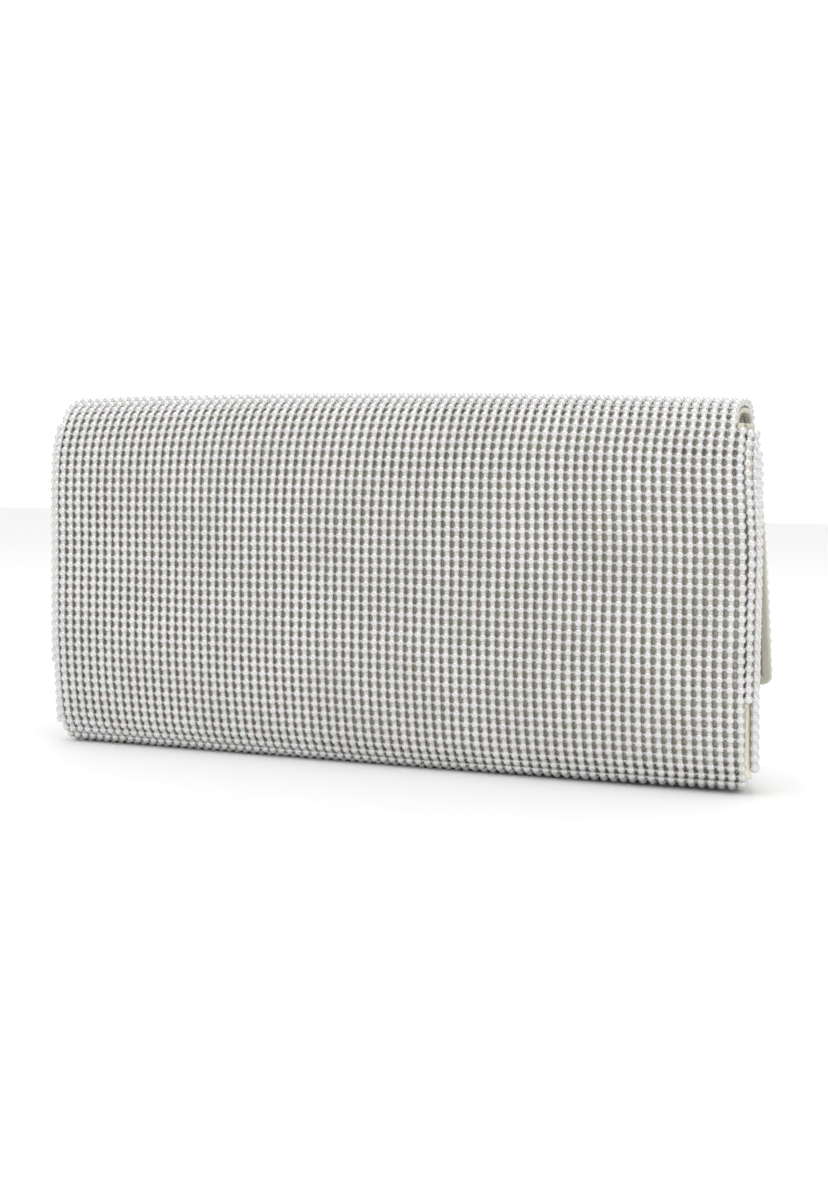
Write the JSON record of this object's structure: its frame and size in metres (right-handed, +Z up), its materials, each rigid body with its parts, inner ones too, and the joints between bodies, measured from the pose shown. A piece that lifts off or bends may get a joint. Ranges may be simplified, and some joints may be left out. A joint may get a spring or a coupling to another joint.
{
  "type": "evening bag",
  "caption": "Flap-over evening clutch in silver ball mesh on satin, with boxed sides, a soft fold over the top, a magnetic snap and an inner slip pocket.",
  "frame": {"origin": "under the middle of the closed bag, on the surface that it stands on", "axes": "+X along the width, +Y towards the plain back, -Y towards the flap, +Z up"},
  "size_m": [0.2384, 0.0456, 0.1147],
  "materials": {
    "silver_beads": "silver plated, glossy",
    "satin_backing": "satin",
    "satin_lining": "satin",
    "satin_binding": "satin",
    "interlining": "felted, matte",
    "board": "matte",
    "snap_metal": "nickel plated",
    "magnet": "matte"
  },
  "bodies": {
    "pouch": {"back_bead_mesh": "silver_beads", "back_backing": "satin_backing", "back_board": "board", "back_lining": "satin_lining", "front_bead_mesh": "silver_beads", "front_backing": "satin_backing", "front_board": "board", "front_lining": "satin_lining", "bottom_bead_mesh": "silver_beads", "bottom_backing": "satin_backing", "bottom_board": "board", "bottom_lining": "satin_lining", "left_gusset_bead_mesh": "silver_beads", "left_gusset_backing": "satin_backing", "left_gusset_lining": "satin_lining", "right_gusset_bead_mesh": "silver_beads", "right_gusset_backing": "satin_backing", "right_gusset_lining": "satin_lining", "opening_binding": "satin_binding", "slip_pocket": "satin_lining", "snap_socket_base": "snap_metal", "snap_socket_case": "snap_metal", "snap_magnet": "magnet", "snap_socket_washer": "snap_metal"},
    "fold_rear": {"fold_rear_bead_mesh": "silver_beads", "fold_rear_backing": "satin_backing", "fold_rear_interlining": "interlining", "fold_rear_lining": "satin_lining", "fold_rear_binding": "satin_binding"},
    "fold_front": {"fold_front_bead_mesh": "silver_beads", "fold_front_backing": "satin_backing", "fold_front_interlining": "interlining", "fold_front_lining": "satin_lining", "fold_front_binding": "satin_binding"},
    "flap": {"flap_bead_mesh": "silver_beads", "flap_backing": "satin_backing", "flap_board": "board", "flap_lining": "satin_lining", "flap_edge_binding": "satin_binding", "snap_stud": "snap_metal", "snap_stud_washer": "snap_metal"}
  },
  "joints": [
    {"name": "rear_fold", "type": "hinge", "parent": "pouch", "child": "fold_rear", "pos_m": [0, 0.01839, 0.10019], "axis": [-1, 0, 0], "range_deg": [0, 60]},
    {"name": "top_fold", "type": "hinge", "parent": "fold_rear", "child": "fold_front", "pos_m": [0, 0.0018, 0.11474], "axis": [-1, 0, 0], "range_deg": [0, 60]},
    {"name": "front_fold", "type": "hinge", "parent": "fold_front", "child": "flap", "pos_m": [0, -0.01379, 0.10574], "axis": [-1, 0, 0], "range_deg": [0, 60]}
  ],
  "couplings": [
    {"joint": "top_fold", "follows": "rear_fold", "ratio": 1},
    {"joint": "front_fold", "follows": "rear_fold", "ratio": 1}
  ]
}
